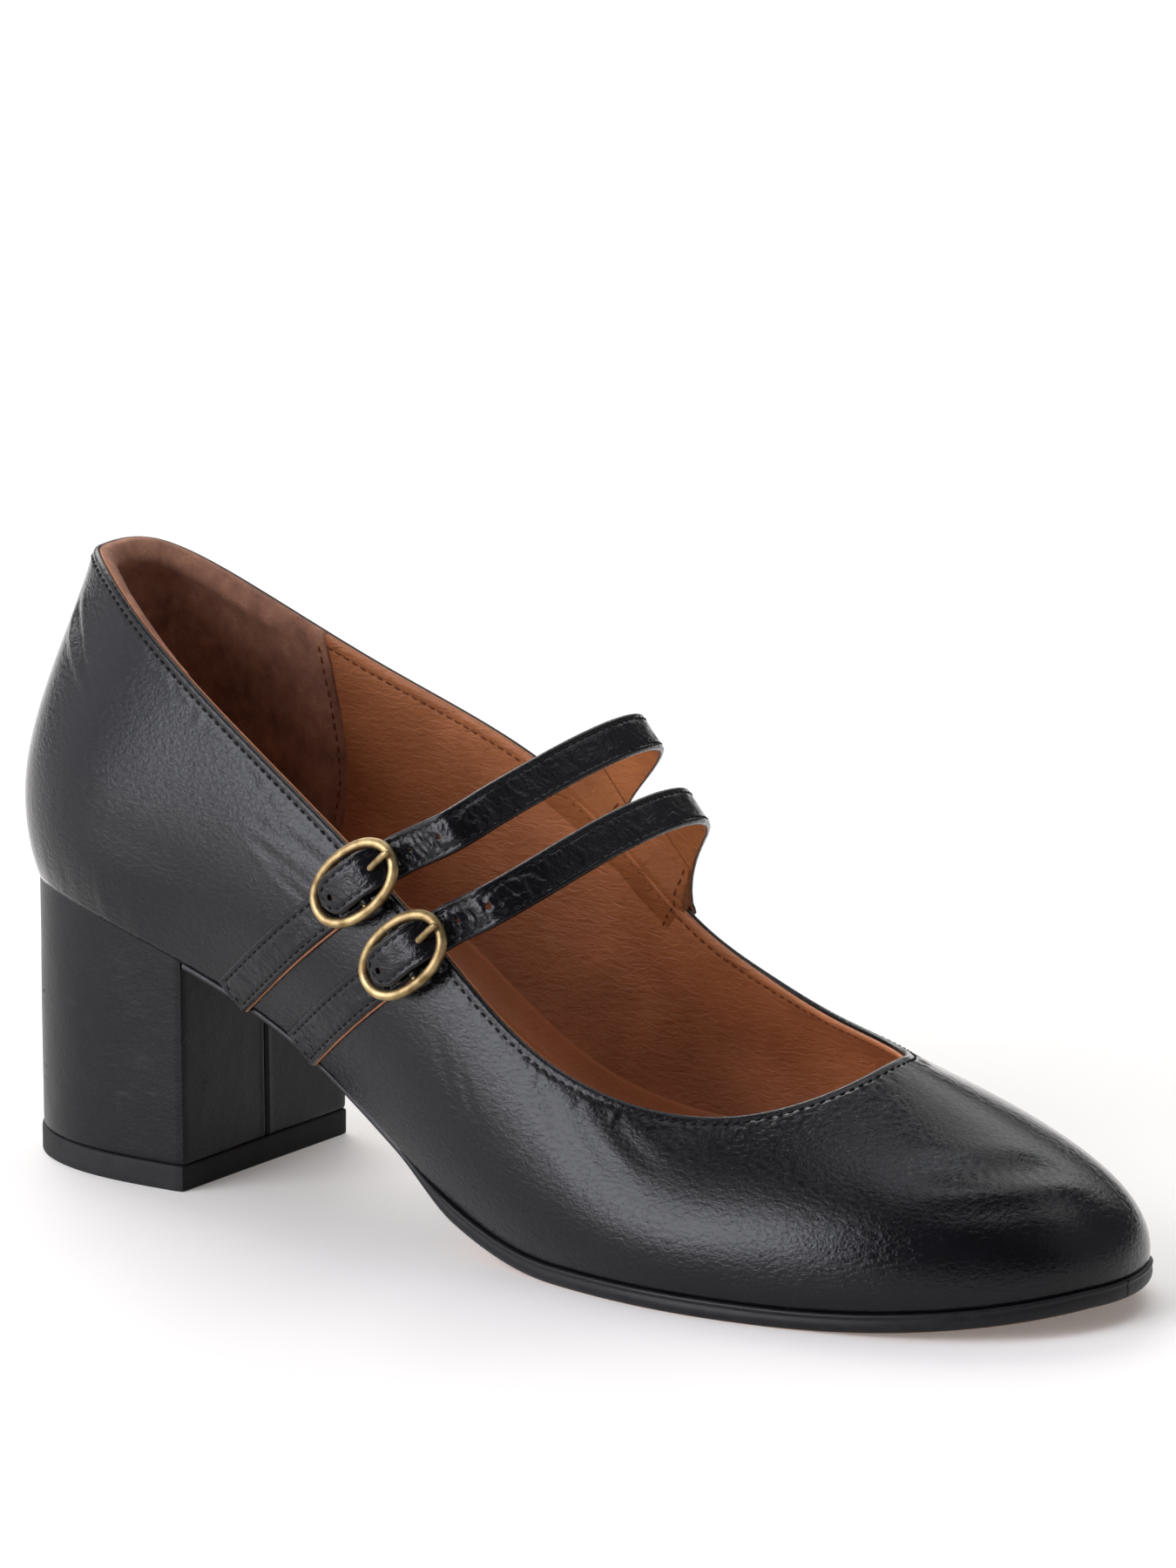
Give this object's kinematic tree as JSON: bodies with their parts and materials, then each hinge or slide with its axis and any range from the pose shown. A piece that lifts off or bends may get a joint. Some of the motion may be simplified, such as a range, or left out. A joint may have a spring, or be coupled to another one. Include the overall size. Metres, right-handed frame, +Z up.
{
  "type": "mary jane pump",
  "caption": "Right-foot mary jane pump in black crinkled leather, with a covered block heel, a rounded toe and buckled straps over the instep.",
  "frame": {"origin": "on the floor, under the middle of the shoe's bounding box", "axes": "+X towards the toe, +Y towards the inner side of the foot, +Z up"},
  "size_m": [0.2346, 0.0802, 0.1124],
  "materials": {
    "upper_leather": "crinkled, glossy black leather",
    "heel_cover": "smooth, satin black leather",
    "sole": "tan leather underneath with a black dyed edge",
    "lining": "smooth tan leather, matt",
    "tip_rubber": "matt black rubber",
    "suede": "brown suede",
    "thread": "waxed black thread",
    "brass": "antique brass, lightly worn"
  },
  "bodies": {
    "root": {"upper": "upper_leather", "outsole": "sole", "insole": "lining", "heel_block": "heel_cover", "heel_top_piece": "tip_rubber", "strap_rear": "upper_leather", "tab_rear": "upper_leather", "buckle_rear": "brass", "prong_rear": "brass", "strap_front": "upper_leather", "tab_front": "upper_leather", "buckle_front": "brass", "prong_front": "brass"}
  },
  "joints": []
}
